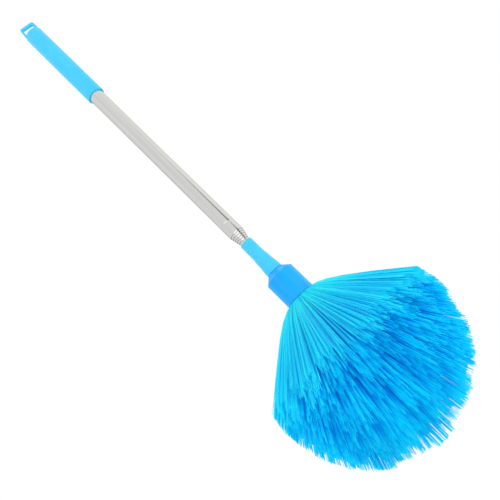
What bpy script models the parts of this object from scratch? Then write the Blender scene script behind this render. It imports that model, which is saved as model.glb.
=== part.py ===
# Extendable duster: a round head of fine plastic bristles on a telescopic steel pole, with a
# plastic grip that hangs by a slot. It is shown closed, as it hangs.
# Sizes are in metres and angles in degrees. The origin is the middle of the slot's upper face,
# where a hook bears, and the pole hangs down along -Z. A depth is a distance below the origin.

import math
import random

import bmesh
import bpy
from mathutils import Matrix, Vector

# Driving dimensions of the duster
pole_diameter = 0.0190
diameter_step = 0.0012
tube_wall = 0.0003
section_count = 6
outer_tube_length = 0.3878
lip_spacing = 0.00287
grip_diameter = 0.0233
grip_overlap = 0.1287
slot_length = 0.0146
head_reach = 0.1950
fan_angle = 57.0

# Clearances between pieces that touch: along the pole, then across it
seat_gap = 0.0003
fixed_fit = 0.0001
sleeve_fit = 0.00008
mouth_fit = 0.00012

# Grip: a round body with a flat hanging loop at its tail
bar_height = 0.0041
loop_width = 0.0218
loop_thickness = 0.0040
loop_leg_width = 0.0034
loop_draft = 0.0012
loop_corner_radius = 0.0030
slot_corner_radius = 0.0010
loop_edge_rounding = 0.0007
shoulder_rounding = 0.0014
grip_end_wall = 0.0034
grip_lip_rounding = 0.0006

# Rear plug of the outer tube
plug_flange_thickness = 0.0015
plug_length = 0.0100
plug_wall = 0.0016

# Tube ends: the rolled lip, the bead behind it, and the waist that carries the friction sleeve
bead_to_mouth = 0.0163
bead_width = 0.0026
waist_depth = 0.00020
waist_slope = 0.0006
rim_length = 0.0014
sleeve_length = 0.0120
sleeve_play = 0.0002
sleeve_slit = 0.0016

# Neck: the plastic socket between the innermost tube and the head. Outside it runs from the socket
# over a step to a slim middle, flares out and ends in a straight collar on the ferrule
neck_diameter = 0.0157
neck_socket_depth = 0.0223
neck_socket_cone = 0.0007
neck_socket_end_diameter = 0.0161
neck_step_diameter = 0.0174
neck_step_length = 0.0033
neck_middle_diameter = 0.0182
neck_middle_length = 0.0092
neck_flare_length = 0.0062
neck_rear_rounding = 0.0005
collar_diameter = 0.0200
collar_length = 0.00575
collar_rounding = 0.0004
spigot_diameter = 0.0140
spigot_length = 0.0110
pilot_diameter = 0.0026
pilot_depth = 0.0100

# Ferrule: the cup that holds the bristles
ferrule_diameter = 0.0360
ferrule_length = 0.0401
ferrule_wall = 0.0022
ferrule_rear_diameter = 0.0202
chamfer_length = 0.0073
ferrule_floor = 0.0030
ferrule_lip_rounding = 0.0006
screw_hole_diameter = 0.0036

# Screw, washer and wire ring inside the ferrule
screw_diameter = 0.0024
screw_length = 0.0125
screw_head_diameter = 0.0064
screw_head_height = 0.0022
screw_head_rounding = 0.0007
washer_clearance = 0.0008
washer_thickness = 0.0008
wire_diameter = 0.0014

# Bristles: a round bundle of triangular cells in rings, each cell drawn out into one strand
cell_rings = 8
ring_twist = 3.0
root_block_recess = 0.0090
throat_rise = 0.0017
flare_length = 0.0085
flare_angle = 68.0
dome_flattening = 0.80
spread_power = 0.94
throat_width_share = 0.80
flare_width_share = 0.78
tip_width_share = 1.25
length_jitter_share = 0.07
tip_jitter_share = 0.012
bristle_seed = 11

# Facets
tube_sides = 28
body_sides = 40
fastener_sides = 20
wire_sides = 5
arc_steps = 3
sharp_angle = 35.0

# Depths and radii that follow from the sizes above
grip_shoulder = slot_length
grip_bore_end = grip_shoulder + grip_end_wall
outer_tube_rear = grip_bore_end + seat_gap + plug_flange_thickness + seat_gap
plug_front = outer_tube_rear + plug_length
outer_tube_mouth = outer_tube_rear + outer_tube_length
grip_mouth = outer_tube_rear + grip_overlap
neck_rear = outer_tube_mouth + (section_count - 1) * lip_spacing
neck_step = neck_rear + neck_socket_depth
neck_middle = neck_step + neck_step_length
neck_flare = neck_middle + neck_middle_length
neck_collar = neck_flare + neck_flare_length
neck_end = neck_collar + collar_length
spigot_end = neck_end + spigot_length
ferrule_rear = neck_end + seat_gap
cup_floor = spigot_end + seat_gap + ferrule_floor
ferrule_mouth = ferrule_rear + ferrule_length
cup_radius = ferrule_diameter / 2 - ferrule_wall
screw_head_seat = cup_floor + seat_gap + washer_thickness + seat_gap
screw_head_end = screw_head_seat + screw_head_height
wire_end = cup_floor + seat_gap + wire_diameter
root_block_end = ferrule_mouth - root_block_recess
bundle_radius = cup_radius - seat_gap

# A bead reaches as far in as a rolled lip does: it stops the sleeve and clears the tube in it
bead_depth = diameter_step / 2 - tube_wall - mouth_fit

# Each ring of the bundle: its name, the cell rings that it spans and what its roots rest on
bundles = (
    ("bristles_inner", 0, 3, screw_head_end),
    ("bristles_middle", 3, 6, cup_floor),
    ("bristles_outer", 6, 8, wire_end),
)

# The washer lies under the inner bundle alone, clear of the one round it
washer_radius = bundle_radius * bundles[0][2] / cell_rings - washer_clearance


class Section:
    """One tube of the pole. Number 1 is the outermost, which is fixed in the grip."""

    def __init__(self, number):
        self.number = number
        self.innermost = number == section_count
        self.radius = (pole_diameter - (number - 1) * diameter_step) / 2
        self.bore = self.radius - tube_wall
        self.opening = self.radius - diameter_step / 2 + mouth_fit
        self.rear = outer_tube_rear
        if number > 1:
            pitch = sleeve_length + sleeve_play + waist_slope + seat_gap
            self.rear = plug_front + seat_gap + (number - 2) * pitch
        self.mouth = outer_tube_mouth + (number - 1) * lip_spacing
        if self.innermost:
            self.mouth = neck_step - seat_gap
        self.length = self.mouth - self.rear
        self.bead = self.mouth - bead_to_mouth
        self.sleeve_rear = self.rear + rim_length + sleeve_play


def make_material(name, colour, roughness, metallic):
    material = bpy.data.materials.new(name)
    material.use_nodes = True
    shader = material.node_tree.nodes["Principled BSDF"]
    shader.inputs["Base Color"].default_value = (*colour, 1.0)
    shader.inputs["Roughness"].default_value = roughness
    shader.inputs["Metallic"].default_value = metallic
    material.diffuse_color = (*colour, 1.0)
    return material


def steel(name):
    return make_material(name, (0.66, 0.65, 0.62), 0.28, 1.0)


def sky_blue_plastic(name):
    return make_material(name, (0.10, 0.58, 1.0), 0.42, 0.0)


def deep_blue_plastic(name):
    return make_material(name, (0.02, 0.36, 1.0), 0.38, 0.0)


def white_nylon(name):
    return make_material(name, (0.80, 0.80, 0.78), 0.55, 0.0)


def bristle_plastic(name):
    return make_material(name, (0.01, 0.50, 0.90), 0.50, 0.0)


def clear_scene():
    for thing in list(bpy.data.objects):
        bpy.data.objects.remove(thing, do_unlink=True)


def make_empty(name, parent, rise):
    empty = bpy.data.objects.new(name, None)
    bpy.context.collection.objects.link(empty)
    empty.parent = parent
    empty.location = (0, 0, rise)
    return empty


def make_object(name, shape, material, parent=None, rise=0.0):
    """Turns a bmesh into a smooth-shaded object, whose origin lies `rise` above its parent's."""
    mesh = bpy.data.meshes.new(name)
    shape.to_mesh(mesh)
    shape.free()
    mesh.shade_smooth()
    mesh.set_sharp_from_angle(angle=math.radians(sharp_angle))
    mesh.materials.append(material(name))
    piece = bpy.data.objects.new(name, mesh)
    bpy.context.collection.objects.link(piece)
    piece.parent = parent
    piece.location = (0, 0, rise)
    return piece


def arc(centre, radius, start, end):
    """Points of an arc round a centre; the angles run from the first axis towards the second."""
    points = []
    for step in range(arc_steps + 1):
        angle = math.radians(start + (end - start) * step / arc_steps)
        points.append((centre[0] + radius * math.cos(angle), centre[1] + radius * math.sin(angle)))
    return points


def turned(profile, sides, closed=True):
    """Spins a profile of (radius, depth) points round the pole's axis into one closed skin."""
    shape = bmesh.new()
    points = [shape.verts.new((radius, 0, -depth)) for radius, depth in profile]
    edges = [shape.edges.new(pair) for pair in zip(points, points[1:])]
    if closed:
        edges.append(shape.edges.new((points[-1], points[0])))
    bmesh.ops.spin(
        shape,
        geom=points + edges,
        cent=(0, 0, 0),
        axis=(0, 0, 1),
        angle=2 * math.pi,
        steps=sides,
    )
    bmesh.ops.remove_doubles(shape, verts=shape.verts[:], dist=seat_gap / 100)
    bmesh.ops.recalc_face_normals(shape, faces=shape.faces[:])
    return shape


def slit_ring(inner, outer, length, slit, sides):
    """A ring with one slit along it, spun from its section by less than a full turn."""
    shape = bmesh.new()
    corners = ((inner, 0), (outer, 0), (outer, -length), (inner, -length))
    section = shape.faces.new([shape.verts.new((radius, 0, height)) for radius, height in corners])
    half_slit = math.asin(slit / 2 / inner)
    bmesh.ops.rotate(
        shape,
        verts=shape.verts[:],
        cent=(0, 0, 0),
        matrix=Matrix.Rotation(half_slit, 3, "Z"),
    )
    bmesh.ops.spin(
        shape,
        geom=[section] + section.edges[:] + section.verts[:],
        cent=(0, 0, 0),
        axis=(0, 0, 1),
        angle=2 * math.pi - 2 * half_slit,
        steps=sides,
    )
    bmesh.ops.recalc_face_normals(shape, faces=shape.faces[:])
    return shape


def hanging_loop():
    """The flat U at the tail: its legs run down into the grip's end wall."""
    half = loop_width / 2
    inner = half - loop_leg_width
    foot = -(grip_shoulder + grip_end_wall / 2)
    outer_corner = half - loop_corner_radius
    inner_corner = inner - slot_corner_radius
    top = bar_height - loop_corner_radius
    outline = [(half, foot)]
    outline += arc((outer_corner, top), loop_corner_radius, 0, 90)
    outline += arc((loop_draft - outer_corner, top), loop_corner_radius, 90, 180)
    outline += [(-half, -grip_shoulder), (-half, foot), (-inner, foot)]
    outline += arc((-inner_corner, -slot_corner_radius), slot_corner_radius, 180, 90)
    outline += arc((inner_corner, -slot_corner_radius), slot_corner_radius, 90, 0)
    outline += [(inner, foot)]
    shape = bmesh.new()
    face = shape.faces.new([shape.verts.new((x, -loop_thickness / 2, z)) for x, z in outline])
    grown = bmesh.ops.extrude_face_region(shape, geom=[face])["geom"]
    moved = [item for item in grown if isinstance(item, bmesh.types.BMVert)]
    bmesh.ops.translate(shape, verts=moved, vec=(0, loop_thickness, 0))
    bmesh.ops.recalc_face_normals(shape, faces=shape.faces[:])
    rims = [edge for edge in shape.edges if edge.verts[0].co.y * edge.verts[1].co.y > 0]
    bmesh.ops.bevel(
        shape,
        geom=rims,
        offset=loop_edge_rounding,
        segments=2,
        profile=0.5,
        affect="EDGES",
    )
    return shape


def make_grip():
    radius = grip_diameter / 2
    bore = pole_diameter / 2 + fixed_fit
    shoulder_corner = (radius - shoulder_rounding, grip_shoulder + shoulder_rounding)
    lip_corner = (radius - grip_lip_rounding, grip_mouth - grip_lip_rounding)
    profile = [(0, grip_shoulder)]
    profile += arc(shoulder_corner, shoulder_rounding, -90, 0)
    profile += arc(lip_corner, grip_lip_rounding, 0, 90)
    profile += [(bore, grip_mouth), (bore, grip_bore_end), (0, grip_bore_end)]
    grip = make_object("grip", turned(profile, body_sides, closed=False), sky_blue_plastic)
    loop = make_object("grip_loop_guide", hanging_loop(), sky_blue_plastic)
    loop.hide_render = True
    loop.display_type = "WIRE"
    union = grip.modifiers.new("hanging loop", "BOOLEAN")
    union.operation = "UNION"
    union.solver = "EXACT"
    union.object = loop


def make_rear_plug():
    """A cap on the outer tube's rear end, whose hollow spigot stops the inner tubes."""
    flange_radius = pole_diameter / 2
    spigot_radius = flange_radius - tube_wall - fixed_fit
    flange_front = outer_tube_rear - seat_gap
    profile = [
        (0, flange_front - plug_flange_thickness),
        (flange_radius, flange_front - plug_flange_thickness),
        (flange_radius, flange_front),
        (spigot_radius, flange_front),
        (spigot_radius, plug_front),
        (spigot_radius - plug_wall, plug_front),
        (spigot_radius - plug_wall, outer_tube_rear),
        (0, outer_tube_rear),
    ]
    make_object("rear_plug", turned(profile, tube_sides, closed=False), white_nylon)


def bead_points(radius, depth):
    """A rolled groove in a tube's wall, which stands inside it as a bead."""
    return [
        (radius, depth - bead_width / 2),
        (radius - bead_depth, depth),
        (radius, depth + bead_width / 2),
    ]


def tube_profile(section):
    """Half section of a tube's wall, with depths below its own rear end."""
    outside = [(section.radius, 0)]
    inside = [(section.bore, 0)]
    if section.number > 1:
        waist_end = rim_length + sleeve_length + 2 * sleeve_play
        outside += [
            (section.radius, rim_length),
            (section.radius - waist_depth, rim_length),
            (section.radius - waist_depth, waist_end),
            (section.radius, waist_end + waist_slope),
        ]
        inside = [
            (section.bore - waist_depth, 0),
            (section.bore - waist_depth, waist_end),
            (section.bore, waist_end + waist_slope),
        ]
    if section.innermost:
        outside += [(section.radius, section.length)]
        inside += [(section.bore, section.length)]
        return outside + inside[::-1]
    roll = section.radius - section.opening
    roll_start = section.length - roll
    bead = section.bead - section.rear
    outside += bead_points(section.radius, bead)
    outside += arc((section.opening, roll_start), roll, 0, 90)
    inside += bead_points(section.bore, bead)
    inside += [(section.bore, roll_start), (section.opening, section.length - tube_wall)]
    return outside + inside[::-1]


def make_tube(section, parent=None, parent_depth=0.0):
    name = f"middle_tube_{section.number - 1}"
    if section.number == 1:
        name = "outer_tube"
    if section.innermost:
        name = "inner_tube"
    shape = turned(tube_profile(section), tube_sides)
    make_object(name, shape, steel, parent, parent_depth - section.rear)


def make_friction_sleeve(section, outer_section, parent):
    """The slit sleeve in a tube's waist, which rubs in the bore round it and stops at its bead."""
    inner = section.radius - waist_depth + sleeve_fit
    outer = outer_section.bore - sleeve_fit
    shape = slit_ring(inner, outer, sleeve_length, sleeve_slit, tube_sides)
    make_object(f"friction_sleeve_{section.number - 1}", shape, white_nylon, parent)


def make_neck(parent, parent_depth):
    """A socket for the innermost tube, a flare, a collar, and a spigot that plugs the ferrule."""
    rear_corner = neck_diameter / 2 - neck_rear_rounding
    bore = (pole_diameter - (section_count - 1) * diameter_step) / 2 + fixed_fit
    collar_corner = collar_diameter / 2 - collar_rounding
    pilot_radius = pilot_diameter / 2
    pilot_end = spigot_end - pilot_depth
    profile = [(0, neck_step + neck_socket_cone), (bore, neck_step), (bore, neck_rear)]
    profile += arc((rear_corner, neck_rear + neck_rear_rounding), neck_rear_rounding, -90, 0)
    profile += [
        (neck_socket_end_diameter / 2, neck_step),
        (neck_step_diameter / 2, neck_middle),
        (neck_middle_diameter / 2, neck_flare),
        (collar_diameter / 2, neck_collar),
    ]
    profile += arc((collar_corner, neck_end - collar_rounding), collar_rounding, 0, 90)
    profile += [
        (spigot_diameter / 2, neck_end),
        (spigot_diameter / 2, spigot_end),
        (pilot_radius, spigot_end),
        (pilot_radius, pilot_end),
        (0, pilot_end - pilot_radius),
    ]
    shape = turned(profile, body_sides, closed=False)
    make_object("neck", shape, sky_blue_plastic, parent, parent_depth)


def make_ferrule(parent, parent_depth):
    """The cup: a rear socket for the neck's spigot, a chamfered shoulder and a round skirt."""
    radius = ferrule_diameter / 2
    socket = spigot_diameter / 2 + fixed_fit
    screw_hole = screw_hole_diameter / 2
    rounding = ferrule_lip_rounding
    profile = [
        (socket, ferrule_rear),
        (ferrule_rear_diameter / 2, ferrule_rear),
        (radius, ferrule_rear + chamfer_length),
    ]
    profile += arc((radius - rounding, ferrule_mouth - rounding), rounding, 0, 90)
    profile += arc((cup_radius + rounding, ferrule_mouth - rounding), rounding, 90, 180)
    profile += [
        (cup_radius, cup_floor),
        (screw_hole, cup_floor),
        (screw_hole, cup_floor - ferrule_floor),
        (socket, cup_floor - ferrule_floor),
    ]
    make_object("ferrule", turned(profile, body_sides), deep_blue_plastic, parent, parent_depth)


def make_washer(parent, parent_depth):
    hole = screw_hole_diameter / 2
    top = cup_floor + seat_gap
    bottom = top + washer_thickness
    profile = [(hole, top), (washer_radius, top), (washer_radius, bottom), (hole, bottom)]
    make_object("head_washer", turned(profile, fastener_sides), steel, parent, parent_depth)


def make_screw(parent, parent_depth):
    """A pan-head screw from inside the cup up into the neck's pilot hole."""
    shank = screw_diameter / 2
    head = screw_head_diameter / 2
    tip = screw_head_seat - screw_length
    corner = (head - screw_head_rounding, screw_head_end - screw_head_rounding)
    profile = [(0, tip), (shank, tip + shank), (shank, screw_head_seat), (head, screw_head_seat)]
    profile += arc(corner, screw_head_rounding, 0, 90)
    profile += [(0, screw_head_end)]
    shape = turned(profile, fastener_sides, closed=False)
    make_object("head_screw", shape, steel, parent, parent_depth)


def make_wire_ring(parent, parent_depth):
    """The steel ring on the cup's floor, round which the outer bristles are folded."""
    wire = wire_diameter / 2
    ring = cup_radius - seat_gap - wire_diameter
    profile = []
    for side in range(wire_sides):
        angle = 2 * math.pi * side / wire_sides + math.pi / 2
        profile.append((ring + wire * math.cos(angle), wire_end - wire + wire * math.sin(angle)))
    make_object("wire_ring", turned(profile, tube_sides), steel, parent, parent_depth)


def cell_points(shape, first_ring, last_ring):
    """The corners of a net of triangles: ring n has 6n, each ring turned a little past the last."""
    rings = []
    for ring in range(first_ring, last_ring + 1):
        radius = bundle_radius * ring / cell_rings
        if ring == first_ring and ring > 0:
            radius += seat_gap / 2
        if ring == last_ring and ring < cell_rings:
            radius -= seat_gap / 2
        count = max(6 * ring, 1)
        points = []
        for place in range(count):
            angle = 2 * math.pi * place / count + math.radians(ring_twist) * ring
            corner = (radius * math.cos(angle), radius * math.sin(angle), -root_block_end)
            points.append(shape.verts.new(corner))
        rings.append(points)
    return rings


def cell_net(shape, first_ring, last_ring):
    """Fills the net: between two rings, each sextant of ring n holds 2n - 1 triangles."""
    rings = cell_points(shape, first_ring, last_ring)
    cells = []
    for ring in range(first_ring + 1, last_ring + 1):
        inner = rings[ring - 1 - first_ring]
        outer = rings[ring - first_ring]
        for sextant in range(6):
            for place in range(ring):
                near = inner[(sextant * (ring - 1) + place) % len(inner)]
                here = outer[sextant * ring + place]
                after = outer[(sextant * ring + place + 1) % len(outer)]
                cells.append(shape.faces.new((near, here, after)))
                if place < ring - 1:
                    beyond = inner[(sextant * (ring - 1) + place + 1) % len(inner)]
                    cells.append(shape.faces.new((near, after, beyond)))
    return cells


def close_root_block(shape, first_ring, top_depth):
    """Raises the net's rims to the block's other side and closes it there."""
    rims = [edge for edge in shape.edges if edge.is_boundary]
    grown = bmesh.ops.extrude_edge_only(shape, edges=rims)["geom"]
    raised = [item for item in grown if isinstance(item, bmesh.types.BMVert)]
    bmesh.ops.translate(shape, verts=raised, vec=(0, 0, root_block_end - top_depth))
    rims = [edge for edge in shape.edges if edge.is_boundary]
    if first_ring == 0:
        bmesh.ops.contextual_create(shape, geom=rims)
    else:
        bmesh.ops.bridge_loops(shape, edges=rims)


def strand_stops(centre, jitter):
    """Where a strand goes: at each stop its place, depth, lean from straight down and width."""
    share = centre.length / bundle_radius
    outward = centre.normalized()
    aside = Vector((-outward.y, outward.x))
    flare = math.radians(flare_angle) * share
    fan = math.radians(fan_angle) * share**spread_power
    throat_depth = ferrule_mouth + throat_rise
    flare_radius = centre.length + flare_length * math.sin(flare)
    flare_depth = throat_depth + flare_length * math.cos(flare)
    reach = head_reach * math.cos(dome_flattening * fan) * (1 - length_jitter_share * jitter.random())
    wander = reach * tip_jitter_share
    tip_radius = reach * math.sin(fan) + wander * jitter.uniform(-1, 1)
    tip_depth = ferrule_mouth + reach * math.cos(fan)
    tip = outward * tip_radius + aside * wander * jitter.uniform(-1, 1)
    lean = math.atan2(tip_radius - flare_radius, tip_depth - flare_depth)
    return (
        (centre, throat_depth, flare / 3, throat_width_share),
        (outward * flare_radius, flare_depth, (flare + lean) / 2, flare_width_share),
        (tip, tip_depth, lean, tip_width_share),
    )


def draw_strand(shape, cell, jitter):
    """Draws one cell out through its stops; it leans outward and changes width on the way."""
    centre = cell.calc_center_median().to_2d()
    hinge = Vector((centre.y, -centre.x, 0))
    end = cell
    lean = 0.0
    width = 1.0
    for place, depth, next_lean, next_width in strand_stops(centre, jitter):
        end = bmesh.ops.extrude_discrete_faces(shape, faces=[end])["faces"][0]
        middle = end.calc_center_median()
        turn = Matrix.Rotation(next_lean - lean, 3, hinge)
        for corner in end.verts:
            offset = turn @ (corner.co - middle) * (next_width / width)
            corner.co = Vector((place.x, place.y, -depth)) + offset
        lean = next_lean
        width = next_width


def make_bristles(parent, parent_depth):
    """The bundle's rings: each is a root block whose every cell grows into a strand."""
    jitter = random.Random(bristle_seed)
    for name, first_ring, last_ring, rest in bundles:
        shape = bmesh.new()
        cells = cell_net(shape, first_ring, last_ring)
        close_root_block(shape, first_ring, rest + seat_gap)
        for cell in cells:
            draw_strand(shape, cell, jitter)
        bmesh.ops.recalc_face_normals(shape, faces=shape.faces[:])
        make_object(name, shape, bristle_plastic, parent, parent_depth)


def make_head(parent, parent_depth):
    make_neck(parent, parent_depth)
    make_ferrule(parent, parent_depth)
    make_washer(parent, parent_depth)
    make_screw(parent, parent_depth)
    make_wire_ring(parent, parent_depth)
    make_bristles(parent, parent_depth)


def make_pole():
    """Nests the tubes: each slides with its sleeve and swivels in it. Returns what ends the pole."""
    sections = [Section(number) for number in range(1, section_count + 1)]
    make_tube(sections[0])
    swivel = None
    swivel_depth = 0.0
    for outer, section in zip(sections, sections[1:]):
        slide = make_empty(f"slide_{outer.number}", swivel, swivel_depth - section.sleeve_rear)
        swivel = make_empty(f"swivel_{outer.number}", slide, section.sleeve_rear - section.rear)
        swivel_depth = section.rear
        make_friction_sleeve(section, outer, slide)
        make_tube(section, swivel, swivel_depth)
        travel = outer.bead - bead_width / 2 - seat_gap - section.sleeve_rear - sleeve_length
        print(f"tube {section.number} of {section_count} slides out {travel:.5f} m")
    return swivel, swivel_depth


clear_scene()
make_grip()
make_rear_plug()
make_head(*make_pole())
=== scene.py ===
# %% [markdown]
# # An extendable duster
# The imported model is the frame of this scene. It holds every piece at its real size: a grip, six
# tubes in one another, a neck, a cup and the bundle of bristles in it. It hangs along -Z from the
# slot in its grip, where the origin is. The lesson leaves those pieces where they are and dresses
# what shows.

# %% Load the frame
import math
import random

import bmesh
import bpy
from mathutils import Matrix, Vector
from mathutils.geometry import interpolate_bezier


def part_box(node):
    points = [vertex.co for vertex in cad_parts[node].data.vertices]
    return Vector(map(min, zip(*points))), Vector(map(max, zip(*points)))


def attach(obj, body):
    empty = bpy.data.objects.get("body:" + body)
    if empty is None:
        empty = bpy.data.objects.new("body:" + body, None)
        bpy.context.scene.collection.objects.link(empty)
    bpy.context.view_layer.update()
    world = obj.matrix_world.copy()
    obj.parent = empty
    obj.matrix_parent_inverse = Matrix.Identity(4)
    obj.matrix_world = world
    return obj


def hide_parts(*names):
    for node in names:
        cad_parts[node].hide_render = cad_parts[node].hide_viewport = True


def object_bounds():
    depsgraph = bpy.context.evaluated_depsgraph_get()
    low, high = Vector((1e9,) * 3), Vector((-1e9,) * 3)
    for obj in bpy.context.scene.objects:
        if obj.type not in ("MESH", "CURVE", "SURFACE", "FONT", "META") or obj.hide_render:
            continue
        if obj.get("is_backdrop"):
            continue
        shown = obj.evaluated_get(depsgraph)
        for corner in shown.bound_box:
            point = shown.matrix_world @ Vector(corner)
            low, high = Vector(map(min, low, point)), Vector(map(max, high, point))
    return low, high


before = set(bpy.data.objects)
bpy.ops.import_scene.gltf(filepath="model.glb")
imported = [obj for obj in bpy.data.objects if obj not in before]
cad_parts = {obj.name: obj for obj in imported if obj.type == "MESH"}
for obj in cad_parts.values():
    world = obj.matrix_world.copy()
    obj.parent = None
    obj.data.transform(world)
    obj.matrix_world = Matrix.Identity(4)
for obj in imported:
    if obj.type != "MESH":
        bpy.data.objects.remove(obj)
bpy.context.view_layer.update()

millimetre = 0.001

# %% [markdown]
# ## Camera
# The photograph is a square. Two facts about it fix the camera: where the pole's axis runs in the
# picture, and how fast its two edges close in. The second says that the bristles are nearer than the
# grip. A camera could be moved by hand until it looks right, but this one is built from three
# directions of its own, right, up, and back to the viewer, so each angle can be corrected alone.

# %% Camera
photo_side = 500
focal_pixels = 540.0
sensor_width = 36.0
pole_pixel = Vector((251.7, 248.3))
pole_depth = 0.4318
pole_distance = 0.606
pole_slope = math.radians(44.50)
pole_tilt = math.radians(15.0)
pole_roll = math.radians(13.7)

down_pole = Vector((
    math.cos(pole_tilt) * math.cos(pole_slope),
    -math.cos(pole_tilt) * math.sin(pole_slope),
    math.sin(pole_tilt),
))
across_pole = Vector((math.sin(pole_slope), math.cos(pole_slope), 0))
off_pole = down_pole.cross(across_pole)
x_seen = math.cos(pole_roll) * across_pole - math.sin(pole_roll) * off_pole
z_seen = -down_pole
y_seen = z_seen.cross(x_seen)
turn = Matrix((x_seen, y_seen, z_seen)).to_4x4()

ray = Vector((
    (pole_pixel.x - photo_side / 2) / focal_pixels,
    (photo_side / 2 - pole_pixel.y) / focal_pixels,
    -1,
))
camera_spot = Vector((0, 0, -pole_depth)) - turn.to_3x3() @ (ray.normalized() * pole_distance)

camera_data = bpy.data.cameras.new("camera")
camera_data.sensor_width = sensor_width
camera_data.lens = sensor_width * focal_pixels / photo_side
camera = bpy.data.objects.new("camera", camera_data)
bpy.context.scene.collection.objects.link(camera)
camera.matrix_world = Matrix.Translation(camera_spot) @ turn
bpy.context.scene.camera = camera
print("camera at", [round(value, 3) for value in camera_spot])


# %% [markdown]
# ## Materials
# Every finish is one shader with a pattern worked out by nodes. A picture of plastic or steel could
# be wrapped round each piece, but it would need a flat map of the piece. The pattern reads Object
# coordinates instead, which are metres in the model's own frame, so it has its real size and stays
# on the piece when the pole slides out. Small helpers make a material, its noise, its colours, and
# the fine unevenness of its gloss.

# %% Helpers for materials
def new_material(name):
    material = bpy.data.materials.new(name)
    material.use_nodes = True
    nodes = material.node_tree.nodes
    return material, nodes, material.node_tree.links, nodes["Principled BSDF"]


def stretched_noise(nodes, links, patches, detail):
    """Noise on Object coordinates, with its own number of patches per metre on each axis."""
    place = nodes.new("ShaderNodeTexCoord")
    mapping = nodes.new("ShaderNodeMapping")
    mapping.inputs["Scale"].default_value = patches
    noise = nodes.new("ShaderNodeTexNoise")
    noise.inputs["Scale"].default_value = 1.0
    noise.inputs["Detail"].default_value = detail
    links.new(place.outputs["Object"], mapping.inputs["Vector"])
    links.new(mapping.outputs["Vector"], noise.inputs["Vector"])
    return noise.outputs["Fac"]


def ramp_of(nodes, links, source, stops):
    """A colour ramp on a value; each stop is a position and a colour."""
    ramp = nodes.new("ShaderNodeValToRGB")
    bands = ramp.color_ramp.elements
    while len(bands) < len(stops):
        bands.new(0.5)
    for band, (position, colour) in zip(bands, stops):
        band.position = position
        band.color = (*colour, 1.0)
    links.new(source, ramp.inputs["Fac"])
    return ramp.outputs["Color"]


def uneven_gloss(nodes, links, shader, pattern, roughness, swing):
    """Lets a pattern move the roughness up and down by a swing."""
    gloss = nodes.new("ShaderNodeMapRange")
    gloss.inputs["To Min"].default_value = roughness - swing
    gloss.inputs["To Max"].default_value = roughness + swing
    links.new(pattern, gloss.inputs["Value"])
    links.new(gloss.outputs["Result"], shader.inputs["Roughness"])


def fine_relief(nodes, links, shader, pattern, strength, height):
    """Raises a pattern as a relief too fine for the mesh."""
    bump = nodes.new("ShaderNodeBump")
    bump.inputs["Strength"].default_value = strength
    bump.inputs["Distance"].default_value = height
    links.new(pattern, bump.inputs["Height"])
    links.new(bump.outputs["Normal"], shader.inputs["Normal"])


# %% [markdown]
# ### Moulded plastic
# The grip and the neck are one light blue, the cup a deeper one. Moulded plastic isn't flat: the
# colour clouds a little where it flowed into the mould, and a fine grain breaks up its gloss. One
# plain colour would look unreal, so there are two noises here: a broad one for the colour, and a
# grain of 2500 patches per metre for the gloss and the relief.

# %% Moulded plastic
cloud_patches = (60, 60, 25)
cloud_detail = 3.0
grain_patches = (2500, 2500, 2500)
grain_detail = 2.0
plastic_shine = 0.25


def moulded_plastic(name, pale, deep, roughness):
    material, nodes, links, shader = new_material(name)
    clouds = stretched_noise(nodes, links, cloud_patches, cloud_detail)
    tint = ramp_of(nodes, links, clouds, [(0.3, deep), (0.7, pale)])
    links.new(tint, shader.inputs["Base Color"])
    shader.inputs["Specular IOR Level"].default_value = plastic_shine
    grain = stretched_noise(nodes, links, grain_patches, grain_detail)
    uneven_gloss(nodes, links, shader, grain, roughness, swing=0.06)
    fine_relief(nodes, links, shader, grain, strength=0.12, height=0.03 * millimetre)
    return material


sky_plastic = moulded_plastic("sky_plastic", (0.075, 0.63, 0.99), (0.055, 0.59, 0.97), 0.34)
cup_plastic = moulded_plastic("cup_plastic", (0.005, 0.44, 0.99), (0.002, 0.40, 0.97), 0.28)
white_plastic = moulded_plastic("white_plastic", (0.82, 0.82, 0.80), (0.78, 0.78, 0.75), 0.50)
print("plastics:", sky_plastic.name, cup_plastic.name, white_plastic.name)

# %% [markdown]
# ### Drawn steel
# Stainless tube is drawn through a die and polished along its length, so its marks are long thin
# streaks. An anisotropic shader would stretch its highlights, but it shows no marks. Noise that is
# fine round the tube and very slow along it gives them, in the colour, the gloss and the relief.

# %% Drawn steel
streak_patches = (900, 900, 6)
streak_detail = 4.0


def drawn_steel(name, pale, dark, roughness):
    material, nodes, links, shader = new_material(name)
    shader.inputs["Metallic"].default_value = 1.0
    streaks = stretched_noise(nodes, links, streak_patches, streak_detail)
    tint = ramp_of(nodes, links, streaks, [(0.35, dark), (0.62, pale)])
    links.new(tint, shader.inputs["Base Color"])
    uneven_gloss(nodes, links, shader, streaks, roughness, swing=0.05)
    fine_relief(nodes, links, shader, streaks, strength=0.10, height=0.02 * millimetre)
    return material


tube_steel = drawn_steel("tube_steel", (0.87, 0.87, 0.84), (0.77, 0.77, 0.74), 0.17)
plated_steel = drawn_steel("plated_steel", (0.62, 0.62, 0.60), (0.52, 0.52, 0.50), 0.26)
print("steels:", tube_steel.name, plated_steel.name)

# %% [markdown]
# ### Pieces that stay as they are
# The rear plug, the friction sleeves, the washer, the screw and the wire ring are right in the packed
# model, and the closed duster hides them. They could be made again with rounder edges, which nobody
# would see. So they keep their shape and get only a finish: white plastic or plated steel.

# %% Finishes of the pieces that stay
stays = {
    white_plastic: ["rear_plug"] + [f"friction_sleeve_{number}" for number in range(1, 6)],
    plated_steel: ["head_washer", "head_screw", "wire_ring"],
}
for material, names in stays.items():
    for name in names:
        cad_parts[name].data.materials.clear()
        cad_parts[name].data.materials.append(material)
print("finished", sum(len(names) for names in stays.values()), "hidden pieces")


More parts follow.
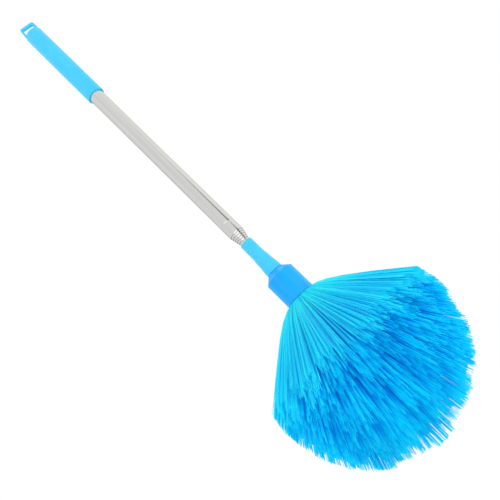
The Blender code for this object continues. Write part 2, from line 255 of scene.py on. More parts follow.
# %% [markdown]
# ## Turned pieces
# The tubes, neck and cup are all round about the pole's axis. A cylinder could be cut into rings and
# each ring scaled, but the real ones are rolled or moulded to a profile. So each is one outline,
# drawn as points of radius and height and spun a full turn. The outline closes on itself, or starts
# and ends on the axis.

# %% Helpers for turned pieces
spin_sides = 96
sharp_angle = math.radians(40)
weld_distance = 0.001 * millimetre


def arc(centre, radius, start, end, steps=6):
    """Points of an arc; its angles run from the first axis towards the second, in degrees."""
    points = []
    for step in range(steps + 1):
        angle = math.radians(start + (end - start) * step / steps)
        points.append((centre[0] + radius * math.cos(angle), centre[1] + radius * math.sin(angle)))
    return points


def spin_outline(outline, closed):
    """Spins an outline round the pole's axis, with its faces turned outwards."""
    shape = bmesh.new()
    points = [shape.verts.new((radius, 0, height)) for radius, height in outline]
    edges = [shape.edges.new(pair) for pair in zip(points, points[1:])]
    if closed:
        edges.append(shape.edges.new((points[-1], points[0])))
    bmesh.ops.spin(
        shape,
        geom=points + edges,
        cent=(0, 0, 0),
        axis=(0, 0, 1),
        angle=2 * math.pi,
        steps=spin_sides,
        use_merge=True,
    )
    bmesh.ops.remove_doubles(shape, verts=shape.verts[:], dist=weld_distance)
    bmesh.ops.recalc_face_normals(shape, faces=shape.faces[:])
    return shape


def finish_piece(name, shape, material, body, slot, *nodes):
    """Makes the object, gives it its finish, and lets it ride in place of CAD nodes. The slot is not
    used.
    """
    mesh = bpy.data.meshes.new(name)
    shape.to_mesh(mesh)
    shape.free()
    mesh.shade_smooth()
    mesh.set_sharp_from_angle(angle=sharp_angle)
    mesh.materials.append(material)
    piece = bpy.data.objects.new(name, mesh)
    bpy.context.scene.collection.objects.link(piece)
    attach(piece, body)
    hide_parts(*nodes)
    print(name, "has", len(mesh.vertices), "points")


# %% [markdown]
# ### Tubes
# Each tube ends in a lip that is rolled in to guide the next one, with a shallow groove behind it
# that stops the next tube's sleeve. Each tube but the first also has a waist at its rear end, where
# its own sleeve sits. The wall could come from a Solidify modifier on half of the outline, but the
# lip is thicker than the wall, so the outline runs down the outside and back up the bore. The lips
# are what catches the light where the pole is closed.

# %% The outline of a tube
tube_names = ["outer_tube"] + [f"middle_tube_{number}" for number in range(1, 5)] + ["inner_tube"]
tube_bodies = ["handle"] + [f"section_{number}" for number in range(2, 6)] + ["head_section"]
tube_wall = 0.3 * millimetre
bead_to_mouth = 16.3 * millimetre
bead_half = 1.3 * millimetre
bead_depth = 0.18 * millimetre
bead_steps = 8
lip_gap = 0.12 * millimetre
lip_length = 1.6 * millimetre
waist_depth = 0.20 * millimetre
waist_start = 1.4 * millimetre
waist_end = 13.8 * millimetre
waist_slope = 0.6 * millimetre
tube_radii = [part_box(name)[1].x for name in tube_names]


def groove(radius, height):
    """The rolled groove in a wall, as a smooth hollow."""
    points = []
    for step in range(bead_steps + 1):
        share = step / bead_steps
        dip = bead_depth * (1 - math.cos(2 * math.pi * share)) / 2
        points.append((radius - dip, height + bead_half * (1 - 2 * share)))
    return points


def rear_end(radius, bore, top, has_waist):
    """The outside and the inside of a tube's rear end."""
    if not has_waist:
        return [(radius, top)], [(bore, top)]
    outside = [
        (radius, top),
        (radius, top - waist_start),
        (radius - waist_depth, top - waist_start),
        (radius - waist_depth, top - waist_end),
        (radius, top - waist_end - waist_slope),
    ]
    inside = [
        (bore - waist_depth, top),
        (bore - waist_depth, top - waist_end),
        (bore, top - waist_end - waist_slope),
    ]
    return outside, inside


def mouth_end(radius, bore, foot, opening):
    """The outside and the inside of a groove and of the lip that is rolled in to an opening."""
    roll = radius - opening
    outside = groove(radius, foot + bead_to_mouth)
    for share, drop in arc((0, 0), 1, 0, -90, 8):
        outside.append((opening + roll * share, foot + lip_length * (1 + drop)))
    inside = groove(bore, foot + bead_to_mouth)
    inside += [(bore, foot + roll), (opening, foot + tube_wall)]
    return outside, inside


# %% Tubes
for number, name in enumerate(tube_names):
    low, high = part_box(name)
    radius = tube_radii[number]
    bore = radius - tube_wall
    outside, inside = rear_end(radius, bore, high.z, number > 0)
    if number < len(tube_names) - 1:
        opening = tube_radii[number + 1] + lip_gap
        mouth_outside, mouth_inside = mouth_end(radius, bore, low.z, opening)
    else:
        mouth_outside, mouth_inside = [(radius, low.z)], [(bore, low.z)]
    outline = outside + mouth_outside + (inside + mouth_inside)[::-1]
    shape = spin_outline(outline, closed=True)
    finish_piece(name + "_skin", shape, tube_steel, tube_bodies[number], "stainless_steel", name)

# %% [markdown]
# ### Neck
# The neck is a light blue moulding: a socket for the innermost tube, a sloping step, a slim middle, a
# flare and a straight collar that sits on the cup. The corners between those are soft, as they come
# out of a mould. A Bevel would give them all one width, so each is rounded here by an arc of its own
# radius that touches both of its lines.

# %% Helpers for rounded corners
def rounded_corner(before, corner, after, radius, steps=5):
    """The arc that rounds the corner between two straight lines of an outline."""
    corner = Vector(corner)
    start = (Vector(before) - corner).normalized()
    end = (Vector(after) - corner).normalized()
    half_angle = start.angle(end) / 2
    reach = radius / math.tan(half_angle)
    middle = corner + (start + end).normalized() * radius / math.sin(half_angle)
    first = (corner + start * reach - middle).normalized()
    last = (corner + end * reach - middle).normalized()
    return [tuple(middle + first.slerp(last, step / steps) * radius) for step in range(steps + 1)]


def rounded_run(points, radii):
    """Rounds the inner points of a run of lines; its first and last points are left out."""
    rounded = []
    for before, corner, after, radius in zip(points, points[1:], points[2:], radii):
        rounded += rounded_corner(before, corner, after, radius)
    return rounded


# %% The neck's sizes
neck_low, neck_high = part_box("neck")
spigot_length = 11.0 * millimetre
spigot_radius = 7.0 * millimetre
collar_radius = neck_high.x
collar_rounding = 0.1 * millimetre
flare_length = 6.2 * millimetre
flare_rounding = 12.0 * millimetre
neck_middle_radius = 9.1 * millimetre
neck_middle_length = 9.2 * millimetre
step_radius = 8.7 * millimetre
step_length = 3.3 * millimetre
step_rounding = 1.2 * millimetre
socket_end_radius = 8.05 * millimetre
socket_depth = 22.3 * millimetre
socket_cone = 0.7 * millimetre
neck_radius = 7.85 * millimetre
neck_rounding = 0.5 * millimetre
pilot_radius = 1.3 * millimetre
pilot_depth = 10.0 * millimetre
fit_gap = 0.1 * millimetre

neck_bore = tube_radii[-1] + fit_gap
neck_foot = neck_low.z + spigot_length
socket_floor = neck_high.z - socket_depth
middle_top = socket_floor - step_length
flare_top = middle_top - neck_middle_length
collar_top = flare_top - flare_length
print("the collar is", round((collar_top - neck_foot) / millimetre, 2), "mm long")

# %% Neck
skin = [
    (neck_radius, neck_high.z),
    (socket_end_radius, socket_floor),
    (step_radius, middle_top),
    (neck_middle_radius, flare_top),
    (collar_radius, collar_top),
    (collar_radius, neck_foot),
]
outline = [(0, socket_floor - socket_cone), (neck_bore, socket_floor), (neck_bore, neck_high.z)]
outline += arc((neck_radius - neck_rounding, neck_high.z - neck_rounding), neck_rounding, 90, 0)
outline += rounded_run(skin, (step_rounding, step_rounding, flare_rounding, flare_rounding))
outline += arc((collar_radius - collar_rounding, neck_foot + collar_rounding), collar_rounding, 0, -90)
outline += [
    (spigot_radius, neck_foot),
    (spigot_radius, neck_low.z),
    (pilot_radius, neck_low.z),
    (pilot_radius, neck_low.z + pilot_depth),
    (0, neck_low.z + pilot_depth + pilot_radius),
]
shape = spin_outline(outline, closed=False)
finish_piece("neck_moulding", shape, sky_plastic, "head_section", "sky_blue_plastic", "neck")

# %% [markdown]
# ### Cup
# The cup that holds the bristles is a thicker, deeper blue moulding: a chamfered shoulder, a long
# straight skirt and a rounded lip. It could be a bevelled cylinder with a hole bored in it, but one
# outline that runs down the outside and back up the inside gives the wall, the floor and the screw
# hole together. Moulded edges are never sharp, so the shoulder gets small arcs.

# %% Cup
cup_low, cup_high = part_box("ferrule")
cup_radius = cup_high.x
cup_wall = 2.2 * millimetre
cup_inner = cup_radius - cup_wall
cup_floor_drop = 14.0 * millimetre
cup_floor = cup_high.z - cup_floor_drop
cup_floor_thickness = 3.0 * millimetre
shoulder_radius = 10.1 * millimetre
shoulder_drop = 7.3 * millimetre
shoulder_rounding = 1.2 * millimetre
rear_rounding = 0.15 * millimetre
lip_rounding = 0.6 * millimetre
screw_hole = 1.8 * millimetre
socket_radius = spigot_radius + fit_gap

mouth_edge = (socket_radius, cup_high.z)
rear_edge = (shoulder_radius, cup_high.z)
shoulder = (cup_radius, cup_high.z - shoulder_drop)
outline = [mouth_edge]
outline += rounded_corner(mouth_edge, rear_edge, shoulder, rear_rounding)
outline += rounded_corner(rear_edge, shoulder, (cup_radius, cup_low.z), shoulder_rounding)
outline += arc((cup_radius - lip_rounding, cup_low.z + lip_rounding), lip_rounding, 0, -90)
outline += arc((cup_inner + lip_rounding, cup_low.z + lip_rounding), lip_rounding, -90, -180)
outline += [
    (cup_inner, cup_floor),
    (screw_hole, cup_floor),
    (screw_hole, cup_floor + cup_floor_thickness),
    (socket_radius, cup_floor + cup_floor_thickness),
]
shape = spin_outline(outline, closed=True)
finish_piece("cup_moulding", shape, cup_plastic, "head_section", "deep_blue_plastic", "ferrule")

# %% [markdown]
# ### Grip
# The grip is one light blue moulding: a sleeve with a closed rear end, and a flat loop that stands on
# that end. A Boolean could melt the two together. Here the loop's feet just end inside the rear wall,
# where nobody sees them, so the sleeve is spun first and then waits for the loop.

# %% The grip's sleeve
grip_low, grip_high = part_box("grip")
grip_radius = grip_high.x
grip_bore = tube_radii[0] + fit_gap
slot_length = 14.6 * millimetre
end_wall = 3.4 * millimetre
grip_rounding = 1.4 * millimetre
grip_lip = 0.6 * millimetre

outline = [(0, -slot_length)]
outline += arc((grip_radius - grip_rounding, -slot_length - grip_rounding), grip_rounding, 90, 0)
outline += arc((grip_radius - grip_lip, grip_low.z + grip_lip), grip_lip, 0, -90)
outline += [(grip_bore, grip_low.z), (grip_bore, -slot_length - end_wall), (0, -slot_length - end_wall)]
grip_shape = spin_outline(outline, closed=False)
print("the grip is", round((grip_high.z - grip_low.z) / millimetre, 1), "mm long")

# %% [markdown]
# ### Hanging loop
# The loop is a flat bar bent into an arch, with one shoulder narrower than the other. A curve with
# thickness could follow the arch, but its legs and its crown are unlike in width. So it is drawn as
# one face in the XZ plane, pushed through its thickness by an extrusion, and the rims of both its
# faces are bevelled, because a moulded loop feels smooth.

# %% Hanging loop
loop_half = 10.9 * millimetre
loop_thickness = 4.0 * millimetre
loop_leg = 3.4 * millimetre
loop_draft = 1.2 * millimetre
loop_corner = 3.0 * millimetre
slot_corner = 1.0 * millimetre
loop_edge = 0.7 * millimetre
loop_foot = -slot_length - end_wall / 2
slot_half = loop_half - loop_leg
crown = grip_high.z - loop_corner

outline = [(loop_half, loop_foot)]
outline += arc((loop_half - loop_corner, crown), loop_corner, 0, 90)
outline += arc((loop_draft + loop_corner - loop_half, crown), loop_corner, 90, 180)
outline += [(-loop_half, -slot_length), (-loop_half, loop_foot), (-slot_half, loop_foot)]
outline += arc((slot_corner - slot_half, -slot_corner), slot_corner, 180, 90)
outline += arc((slot_half - slot_corner, -slot_corner), slot_corner, 90, 0)
outline += [(slot_half, loop_foot)]

loop = bmesh.new()
face = loop.faces.new([loop.verts.new((x, -loop_thickness / 2, z)) for x, z in outline])
grown = bmesh.ops.extrude_face_region(loop, geom=[face])["geom"]
far_side = [item for item in grown if isinstance(item, bmesh.types.BMVert)]
bmesh.ops.translate(loop, verts=far_side, vec=(0, loop_thickness, 0))
bmesh.ops.recalc_face_normals(loop, faces=loop.faces[:])
rims = [edge for edge in loop.edges if edge.verts[0].co.y * edge.verts[1].co.y > 0]
bmesh.ops.bevel(
    loop,
    geom=rims,
    offset=loop_edge,
    segments=4,
    profile=0.5,
    affect="EDGES",
    material=-1,
)

# %% Grip
loop_mesh = bpy.data.meshes.new("loop")
loop.to_mesh(loop_mesh)
loop.free()
grip_shape.from_mesh(loop_mesh)
bpy.data.meshes.remove(loop_mesh)
finish_piece("grip_moulding", grip_shape, sky_plastic, "handle", "sky_blue_plastic", "grip")

# %% [markdown]
# ## Bristles
# The head is what the eye goes to: thousands of fine plastic filaments that leave the cup bent
# outward and then run nearly straight to a domed front. They aren't spread evenly. They come in
# tufts, folded in the middle and packed into the cup ring by ring, and each tuft has its own lean,
# length and shade. Within a tuft they cling together in wisps. Blender's hair could cover the cup,
# but it knows no tufts and no wisps, so a map of the bundle does the work. A filament is placed
# twice on that round map: once where its root is, and once, drawn towards its wisp, where its tip
# points.

# %% The map of the bundle
tuft_rings = 8
tufts_round_middle = 6
rim_inset = 0.08
wisps_in_tuft = 20
filaments_in_wisp = 4
tuft_random = random.Random(13)


def tuft_centres():
    """The tufts' places on the unit disc: one in the middle and 6, 12, 18... round it."""
    centres = [(0, Vector((0, 0)))]
    for ring in range(1, tuft_rings + 1):
        tufts = tufts_round_middle * ring
        for place in range(tufts):
            angle = 2 * math.pi * (place + 0.5 * (ring % 2)) / tufts
            distance = (ring - rim_inset) / tuft_rings
            centres.append((ring, Vector((math.cos(angle), math.sin(angle))) * distance))
    return centres


centres = tuft_centres()
print(len(centres), "tufts,", len(centres) * wisps_in_tuft * filaments_in_wisp, "filaments")

# %% [markdown]
# ### One filament
# A point of the map becomes a direction: the middle points straight down and the rim leans out by the
# fan's half angle. The dome is flatter than a ball, so the reach falls off as the lean grows. A
# straight line would pass through the cup's wall, and a simulated strand would take long. The curve
# between root and tip is one cubic stretch: it leaves the cup's lip almost sideways at the rim,
# because the filaments inside push it out, and then settles into a straight run.

# %% One filament
mouth = cup_low.z
root_depth = 12.0 * millimetre
root_height = mouth + root_depth
bundle_clearance = 0.3 * millimetre
bundle_radius = cup_inner - bundle_clearance
head_reach = 195.0 * millimetre
fan_angle = math.radians(56.4)
run_angle = math.radians(48)
lip_angle = math.radians(84)
lip_falloff = 2.2
dome_flattening = 0.86
lip_handle = 12.0 * millimetre
run_share = 0.80
curve_points = 6


def leaning(outward, angle):
    """A direction that leans from straight down towards a horizontal one."""
    return Vector((outward.x * math.sin(angle), outward.y * math.sin(angle), -math.cos(angle)))


def filament_path(root, tip, length, bow):
    """The centre line from the root in the cup to the tip, as seven points."""
    root_share = min(root.length, 1.0)
    tip_share = tip.length
    outward = tip.normalized()
    start = Vector((root.x * bundle_radius, root.y * bundle_radius, mouth))
    tip_lean = fan_angle * tip_share
    reach = head_reach * math.cos(dome_flattening * tip_lean) * length
    end = Vector((0, 0, mouth)) + leaning(outward, tip_lean) * reach
    run = leaning(outward, run_angle * tip_share)
    lip_lean = lip_angle * root_share ** lip_falloff
    first_handle = start + leaning(root.normalized(), lip_lean) * lip_handle
    last_handle = end - run * (end - start).length * run_share + bow
    path = interpolate_bezier(start, first_handle, last_handle, end, curve_points)
    return [Vector((start.x, start.y, root_height))] + path


rim_reach = head_reach * math.cos(dome_flattening * fan_angle)
print("the rim reaches", round(rim_reach / millimetre), "mm, the middle", round(head_reach / millimetre))

# %% [markdown]
# ### A bundle grows
# Each filament is a thin three-sided prism. Curves with a bevel would do for a few, but thousands
# are slow. All of a piece's filaments grow together instead: one small triangle each, then one
# extrusion of all the ends at once for every point of the path. Three values ride on the points for
# the material to read: how far along the filament it is, the filament's own shade, which is random
# tone or a painted shadow line, and how much painted rim light it takes, which only the bundle's
# outermost ring has. Frayed tips are thicker than the roots.

# %% Growing a piece of the bundle
root_thickness = 0.28 * millimetre
middle_thickness = 0.50 * millimetre
tip_thickness = 0.60 * millimetre
prism_sides = 3
prism_guide = Vector((0.3, 0.2, 1.0))


def thickness_at(stop, share):
    """Thin in the cup, then even, then slowly thicker over the second half."""
    if share > 0.5:
        return middle_thickness + (tip_thickness - middle_thickness) * (share - 0.5) / 0.5
    return middle_thickness if stop > 1 else root_thickness


def ring_corners(path, stop, twist):
    """The three corners round one point of a path, square to the path there."""
    before = path[max(stop - 1, 0)]
    after = path[min(stop + 1, len(path) - 1)]
    along = (after - before).normalized()
    side = along.cross(prism_guide).normalized()
    rise = side.cross(along)
    thickness = thickness_at(stop, stop / (len(path) - 1))
    corners = []
    for corner in range(prism_sides):
        angle = twist + 2 * math.pi * corner / prism_sides
        spread = (side * math.cos(angle) + rise * math.sin(angle)) * thickness / 2
        corners.append(path[stop] + spread)
    return corners


def grow(filaments):
    """One closed mesh of many filaments; each is a path, a shade, a painted rim light value and a twist.
    """
    shape = bmesh.new()
    along = shape.verts.layers.float.new("along")
    shade = shape.verts.layers.float.new("shade")
    rim = shape.verts.layers.float.new("rim")
    owner = shape.faces.layers.int.new("owner")
    ends = []
    for number, (path, tone, outermost, twist) in enumerate(filaments):
        corners = [shape.verts.new(corner) for corner in ring_corners(path, 0, twist)]
        for vertex in corners:
            vertex[shade] = tone
            vertex[rim] = outermost
        face = shape.faces.new(corners)
        face[owner] = number
        ends.append(face)
    stops = len(filaments[0][0])
    for stop in range(1, stops):
        ends = bmesh.ops.extrude_discrete_faces(shape, faces=ends)["faces"]
        for face in ends:
            path, tone, outermost, twist = filaments[face[owner]]
            for vertex, corner in zip(face.verts, ring_corners(path, stop, twist)):
                vertex.co = corner
                vertex[along] = stop / (stops - 1)
                vertex[shade] = tone
                vertex[rim] = outermost
    holes = [edge for edge in shape.edges if edge.is_boundary]
    bmesh.ops.holes_fill(shape, edges=holes, sides=prism_sides)
    bmesh.ops.recalc_face_normals(shape, faces=shape.faces[:])
    return shape


# %% [markdown]
# ### Filament plastic
# The filaments are a clear cyan plastic. Light passes from one to the next, and on its way it loses
# its red and then its green, so the bundle looks a pale cyan at its surface and a strong blue deep
# inside. A glass shader would be truer and far slower. Half of each filament's shader is translucent
# instead, and light may bounce 32 times, because the usual 12 leave a dense bundle of clear threads
# too dark. A trace of emission is a painted glow that lifts the bundle's deep gaps. The colour along
# each filament is partly painted light: paler near the cup and at the tips, where light comes through.
# The shade of each filament makes it a little deeper or paler at random, and a low shade paints a deep
# blue shadow line. The outermost ring is paler than the rest, which is painted light through the edge.

# %% Filament plastic
# Painted light: the paler colour of the outermost ring stands in for light shining through the bundle's
# edge.
painted_rim_light_colour = (0.08, 1.0, 1.0, 1.0)
# Painted glow: a trace of emission that lifts the bundle's deep gaps, though the filaments are no lamp.
painted_glow_colour = (0.0, 0.7, 1.0, 1.0)
painted_glow_strength = 0.02
translucent_share = 0.5
filament_roughness = 0.38
light_bounces = 32
# Partly painted light: the filaments' own cyan, made paler near the cup and at the tips, where light
# passes through.
colours_and_light_along = [
    (0.60, (0.06, 0.97, 1.0)),
    (0.78, (0.02, 0.88, 1.0)),
    (0.92, (0.0, 0.85, 1.0)),
    (1.0, (0.01, 0.90, 1.0)),
]
# A shade near 0 gives a painted shadow line in deep blue; the higher shades are random tone.
colours_of_shade = [
    (0.0, (0.28, 0.52, 0.84)),
    (0.30, (0.72, 0.86, 0.98)),
    (0.60, (0.95, 0.98, 1.0)),
    (1.0, (1.0, 1.0, 1.0)),
]


def filament_value(nodes, name):
    """A value that rides on the points of the mesh."""
    value = nodes.new("ShaderNodeAttribute")
    value.attribute_name = name
    return value.outputs["Fac"]


def filament_plastic():
    material, nodes, links, shader = new_material("filament_plastic")
    # The tint along each filament carries painted light near the cup and at the tips.
    tint_and_light_along = ramp_of(nodes, links, filament_value(nodes, "along"), colours_and_light_along)
    shade_tint = ramp_of(nodes, links, filament_value(nodes, "shade"), colours_of_shade)
    # Mixes the painted rim light into the outermost ring's colour.
    paler = nodes.new("ShaderNodeMix")
    paler.data_type = "RGBA"
    paler.inputs["B"].default_value = painted_rim_light_colour
    links.new(filament_value(nodes, "rim"), paler.inputs["Factor"])
    links.new(tint_and_light_along, paler.inputs["A"])
    blend = nodes.new("ShaderNodeMix")
    blend.data_type = "RGBA"
    blend.blend_type = "MULTIPLY"
    blend.inputs["Factor"].default_value = 1.0
    links.new(paler.outputs["Result"], blend.inputs["A"])
    links.new(shade_tint, blend.inputs["B"])
    links.new(blend.outputs["Result"], shader.inputs["Base Color"])
    shader.inputs["Roughness"].default_value = filament_roughness
    shader.inputs["Specular IOR Level"].default_value = plastic_shine
    # The emission is a painted glow.
    shader.inputs["Emission Color"].default_value = painted_glow_colour
    shader.inputs["Emission Strength"].default_value = painted_glow_strength
    through = nodes.new("ShaderNodeBsdfTranslucent")
    links.new(blend.outputs["Result"], through.inputs["Color"])
    both = nodes.new("ShaderNodeMixShader")
    both.inputs["Fac"].default_value = translucent_share
    links.new(shader.outputs["BSDF"], both.inputs[1])
    links.new(through.outputs["BSDF"], both.inputs[2])
    links.new(both.outputs["Shader"], nodes["Material Output"].inputs["Surface"])
    return material


filament_finish = filament_plastic()
cycles = bpy.context.scene.cycles
cycles.max_bounces = cycles.diffuse_bounces = cycles.transmission_bounces = light_bounces
print(filament_finish.name, "lets light bounce", cycles.max_bounces, "times")

# %% [markdown]
# ### How the tufts differ
# No two tufts of a real duster are alike. They could be copies of one tuft, turned and scaled, but
# the eye finds a copy at once. Every difference here is a small random draw, and one seeded source
# makes them all, so the same duster grows on each run. Of a hundred filaments about nine are painted
# a much deeper blue, as shadow lines between filaments, and one strays, and the shades of a tuft's
# other filaments stay close together.

# %% How the tufts differ
longest_tuft = 1.03
length_spread = 0.10
short_tuft_rarity = 1.6
wisp_length_spread = 0.008
filament_length_spread = 0.008
lean_spread = 0.016
wisp_lean_spread = 0.010
tuft_bow_spread = 1.4 * millimetre
filament_bow_spread = tuft_bow_spread / 5
tuft_spreads = (0.88, 1.06)
wisp_draws = (0.55, 0.95)
tuft_tones = (0.66, 0.88)
wisp_tone_spread = 0.10
filament_tone_spread = 0.08
# Painted shadow lines: this share of filaments is made deep blue where shade falls between filaments.
shadow_line_share = 0.09
shadow_line_tones = (0.05, 0.35)
stray_share = 0.01
stray_leans = (0.94, 1.06)
map_edges = (0.99, 1.04)
# How much of the painted rim light the outermost ring takes.
painted_rim_light = 0.5
turn_spread = 0.3
golden_turn = math.pi * (3 - math.sqrt(5))
tuft_fullness = 0.58
tuft_reach = tuft_fullness / tuft_rings
wisp_reach = tuft_reach / math.sqrt(wisps_in_tuft)


def round_place(number, count, radius):
    """Place `number` of `count`, spread evenly over a disc by the golden turn."""
    angle = golden_turn * number + tuft_random.uniform(-turn_spread, turn_spread)
    distance = math.sqrt((number + 0.5) / count) * radius
    return Vector((math.cos(angle), math.sin(angle))) * distance


def jolt(spread, size=2):
    """A small random vector."""
    return Vector([tuft_random.gauss(0, spread) for _ in range(size)])


# %% [markdown]
# ### The tufts
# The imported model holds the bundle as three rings, so that each can be hidden by its own filaments.
# A piece stays under 200,000 triangles, so the two outer rings are in two halves. One mesh would be
# simpler, but it would be thinned when it is exported. The loops go from the tufts to their wisps
# and on to the filaments, and each level adds its own draws to those above it.

# %% The tufts
inner_rings = 3
middle_rings = 6
pieces = {
    "inner_filaments": ("bristles_inner", []),
    "middle_filaments_1": ("bristles_middle", []),
    "middle_filaments_2": ("bristles_middle", []),
    "outer_filaments_1": ("bristles_outer", []),
    "outer_filaments_2": ("bristles_outer", []),
}
for ring, centre in centres:
    group = "inner_filaments"
    if ring > inner_rings:
        group = "middle_filaments_" if ring <= middle_rings else "outer_filaments_"
        group += "1" if centre.y > 0 else "2"
    tuft_jolt = jolt(lean_spread)
    tuft_length = longest_tuft - length_spread * tuft_random.random() ** short_tuft_rarity
    tuft_tone = tuft_random.uniform(*tuft_tones)
    tuft_bow = jolt(tuft_bow_spread, 3)
    tuft_spread = tuft_random.uniform(*tuft_spreads)
    # Only the outermost ring gets the painted rim light.
    outermost = painted_rim_light if ring == tuft_rings else 0.0
    for wisp in range(wisps_in_tuft):
        wisp_place = round_place(wisp, wisps_in_tuft, tuft_reach)
        wisp_tip = centre + tuft_jolt + wisp_place * tuft_spread + jolt(wisp_lean_spread)
        wisp_length = tuft_length - wisp_length_spread * tuft_random.random()
        wisp_tone = tuft_tone + tuft_random.gauss(0, wisp_tone_spread)
        wisp_draw = tuft_random.uniform(*wisp_draws)
        for number in range(filaments_in_wisp):
            offset = round_place(number, filaments_in_wisp, wisp_reach)
            root = centre + wisp_place + offset
            tip = wisp_tip + offset * wisp_draw
            if tip.length > map_edges[1]:
                tip = tip.normalized() * tuft_random.uniform(*map_edges)
            length = wisp_length - filament_length_spread * tuft_random.random()
            bow = tuft_bow + jolt(filament_bow_spread, 3)
            if tuft_random.random() < stray_share:
                tip *= tuft_random.uniform(*stray_leans)
            tone = min(max(wisp_tone + tuft_random.gauss(0, filament_tone_spread), 0), 1)
            # A filament drawn here is a painted shadow line.
            if tuft_random.random() < shadow_line_share:
                tone = tuft_random.uniform(*shadow_line_tones)
            twist = tuft_random.uniform(0, math.pi)
            path = filament_path(root, tip, length, bow)
            pieces[group][1].append((path, tone, outermost, twist))

for name, (node, filaments) in pieces.items():
    finish_piece(name, grow(filaments), filament_finish, "head_section", "cyan_bristle", node)

# %% [markdown]
# ## Floor
# The photograph has a plain white ground and no hard shadow. Here the duster hangs, and its pole can
# slide out to 2.3 metres, so the floor lies below that. A floor lit up to white by lamps would light
# the duster from below as well. So the floor is a pale grey that still takes a shadow, and it adds
# light of its own for the camera alone.

# %% Floor
floor_height = -2.5
floor_radius = 9.0
floor_grey = (0.86, 0.86, 0.86, 1.0)
floor_roughness = 0.9
floor_glow = 0.6
ground = bmesh.new()
bmesh.ops.create_circle(ground, cap_ends=True, segments=64, radius=floor_radius)
bmesh.ops.translate(ground, verts=ground.verts[:], vec=(0, 0, floor_height))
floor_mesh = bpy.data.meshes.new("floor")
ground.to_mesh(floor_mesh)
ground.free()
floor = bpy.data.objects.new("floor", floor_mesh)
bpy.context.scene.collection.objects.link(floor)
floor.visible_glossy = False
floor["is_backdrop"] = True

floor_material, nodes, links, shader = new_material("floor")
shader.inputs["Base Color"].default_value = floor_grey
shader.inputs["Roughness"].default_value = floor_roughness
shader.inputs["Emission Color"].default_value = (1.0, 1.0, 1.0, 1.0)
light_path = nodes.new("ShaderNodeLightPath")
seen = nodes.new("ShaderNodeMath")
seen.operation = "MULTIPLY"
seen.inputs[1].default_value = floor_glow
links.new(light_path.outputs["Is Camera Ray"], seen.inputs[0])
links.new(seen.outputs["Value"], shader.inputs["Emission Strength"])
floor.data.materials.append(floor_material)
print("the floor is", -floor_height, "m below the slot")

# %% [markdown]
# ## What the steel mirrors
# A bright tube shows the room. In the photograph it mirrors a white room with three things in it: a
# narrow dark gap that makes the dark line along the tube, a slightly brighter wall beyond the gap,
# and a bright low window that lights up the rolled lips. A lamp overhead adds a little light to the
# rear edges of the neck and the cup. Real walls and windows would have to be built round the duster.
# The world draws them by direction instead, for mirror rays alone. The dark gap fades out with
# height, so the line fades towards the grip.

# %% Helpers for the world
scene = bpy.context.scene
world = bpy.data.worlds.new("studio")
scene.world = world
world.use_nodes = True
nodes = world.node_tree.nodes
links = world.node_tree.links
nodes.clear()


def arithmetic(operation, first, second):
    """One step of arithmetic in the world; an input is a number or the output of a node."""
    node = nodes.new("ShaderNodeMath")
    node.operation = operation
    for socket, value in zip(node.inputs, (first, second)):
        if isinstance(value, (int, float)):
            socket.default_value = value
        else:
            links.new(value, socket)
    return node.outputs["Value"]


def fade(source, start, end):
    """Goes smoothly from 0 to 1 while the source goes from start to end."""
    node = nodes.new("ShaderNodeMapRange")
    node.interpolation_type = "SMOOTHSTEP"
    node.inputs["From Min"].default_value = start
    node.inputs["From Max"].default_value = end
    links.new(source, node.inputs["Value"])
    return node.outputs["Result"]


def grey_ramp(source, stops):
    """A ramp of greys; each stop is a position and a level."""
    return ramp_of(nodes, links, source, [(place, (grey,) * 3) for place, grey in stops])


# %% The room by direction
gap_direction = math.radians(-49.7)
wall_greys = [
    (0.00, 0.70),
    (0.05, 0.88),
    (0.18, 0.94),
    (0.29, 0.86),
    (0.35, 0.88),
    (0.44, 0.94),
    (0.58, 0.98),
    (0.66, 1.00),
    (0.85, 0.70),
]
gap_edges = [(0.460, 0.0), (0.480, 1.0), (0.520, 1.0), (0.540, 0.0)]
window_edges = [(0.22, 0.0), (0.32, 1.0), (0.44, 1.0), (0.47, 0.0)]
gap_heights = (0.44, 0.16)
window_heights = (0.12, -0.10)
lamp_heights = (0.70, 0.95)
gap_rest = 0.08
gap_darkness = 0.97
wall_level = 1.07
floor_darkness = 0.35
window_strength = 1.4
lamp_strength = 1.5

compass = nodes.new("ShaderNodeTexCoord")
facing_gap = nodes.new("ShaderNodeMapping")
facing_gap.inputs["Rotation"].default_value = (0, 0, -gap_direction)
links.new(compass.outputs["Generated"], facing_gap.inputs["Vector"])
parts = nodes.new("ShaderNodeSeparateXYZ")
links.new(facing_gap.outputs["Vector"], parts.inputs["Vector"])
height = parts.outputs["Z"]
bearing = arithmetic("ARCTAN2", parts.outputs["Y"], parts.outputs["X"])
bearing = arithmetic("ADD", arithmetic("DIVIDE", bearing, 2 * math.pi), 0.5)

walls = grey_ramp(bearing, wall_greys)
gap = grey_ramp(bearing, gap_edges)
gap = arithmetic("MULTIPLY", gap, arithmetic("ADD", fade(height, *gap_heights), gap_rest))
window = grey_ramp(bearing, window_edges)
below = fade(height, *window_heights)
above = fade(height, *lamp_heights)
gap_dimming = arithmetic("SUBTRACT", wall_level, arithmetic("MULTIPLY", gap, gap_darkness))
floor_dimming = arithmetic("SUBTRACT", 1.0, arithmetic("MULTIPLY", below, floor_darkness))
low_window = arithmetic("MULTIPLY", arithmetic("MULTIPLY", window, below), window_strength)
level = arithmetic("MULTIPLY", arithmetic("MULTIPLY", walls, gap_dimming), floor_dimming)
level = arithmetic("ADD", level, low_window)
level = arithmetic("ADD", level, arithmetic("MULTIPLY", above, lamp_strength))
print("the dark gap lies", round(math.degrees(gap_direction), 1), "degrees round from X")

# %% [markdown]
# ## World
# One plain white world could light and back everything, but it would wash the colours out. So the
# rays are sorted by kind: those from the camera or through something clear find plain white, mirror
# rays find the room, and all others find a softer white that lights the duster from all round.

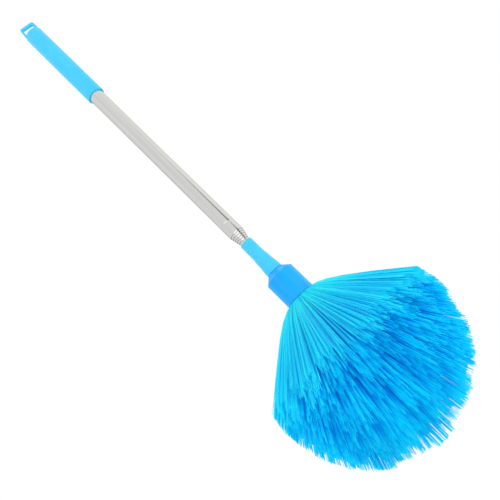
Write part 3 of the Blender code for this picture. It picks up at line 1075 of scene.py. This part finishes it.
# %% World
soft_white = (0.98, 0.99, 1.0, 1.0)
soft_strength = 0.85
mirrored = nodes.new("ShaderNodeBackground")
links.new(level, mirrored.inputs["Strength"])
soft = nodes.new("ShaderNodeBackground")
soft.inputs["Color"].default_value = soft_white
soft.inputs["Strength"].default_value = soft_strength
white = nodes.new("ShaderNodeBackground")
white.inputs["Color"].default_value = (1.0, 1.0, 1.0, 1.0)
white.inputs["Strength"].default_value = 1.0
rays = nodes.new("ShaderNodeLightPath")
plain = nodes.new("ShaderNodeMixShader")
straight = arithmetic("MAXIMUM", rays.outputs["Is Camera Ray"], rays.outputs["Is Transmission Ray"])
links.new(straight, plain.inputs["Fac"])
links.new(soft.outputs["Background"], plain.inputs[1])
links.new(white.outputs["Background"], plain.inputs[2])
room = nodes.new("ShaderNodeMixShader")
links.new(rays.outputs["Is Glossy Ray"], room.inputs["Fac"])
links.new(plain.outputs["Shader"], room.inputs[1])
links.new(mirrored.outputs["Background"], room.inputs[2])
output = nodes.new("ShaderNodeOutputWorld")
links.new(room.outputs["Shader"], output.inputs["Surface"])
print(world.name, "has", len(nodes), "nodes")

# %% [markdown]
# ## Lights
# A studio lights a small thing with large soft panels, so that no shadow has an edge. One lamp near
# the camera would leave the sides and the back dull. Here two panels stand in front, one below and
# two behind, all of them weak, because the world gives most of the light. Mirror rays don't see
# them, so the steel shows the room alone.

# %% Lights
panel_size = 0.9
pole_middle = 0.45
head_side = 0.55


def panel(name, right, up, back, watts, aim_depth):
    """A square soft light, placed by distances to the camera's right, up and back from its aim."""
    data = bpy.data.lights.new(name, "AREA")
    data.size = panel_size
    data.energy = watts
    lamp = bpy.data.objects.new(name, data)
    scene.collection.objects.link(lamp)
    aim = Vector((0, 0, -aim_depth))
    spot = aim + turn.to_3x3() @ Vector((right, up, back))
    lamp.location = spot
    lamp.visible_glossy = False
    lamp.rotation_mode = "QUATERNION"
    lamp.rotation_quaternion = (aim - spot).to_track_quat("-Z", "Y")
    print(name, "gives", watts, "watts")


panel("key_panel", 0.9, 1.1, 0.9, 8.0, pole_middle)
panel("fill_panel", -1.1, -0.2, 0.9, 4.0, pole_middle)
panel("low_panel", 0.5, -1.2, 0.5, 3.0, pole_middle)
panel("back_panel", 1.2, 0.6, -1.0, 9.0, head_side)
panel("low_back_panel", -0.8, -1.0, -1.0, 6.0, head_side)

# %% [markdown]
# ## View and sizes
# The Standard view shows each colour as it is written, where other views would soften the blues. The
# duster's box after the dressing is printed.

# %% View settings and sizes
scene.view_settings.view_transform = "Standard"
low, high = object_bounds()
print("visual box", [round(value, 4) for value in low], [round(value, 4) for value in high])
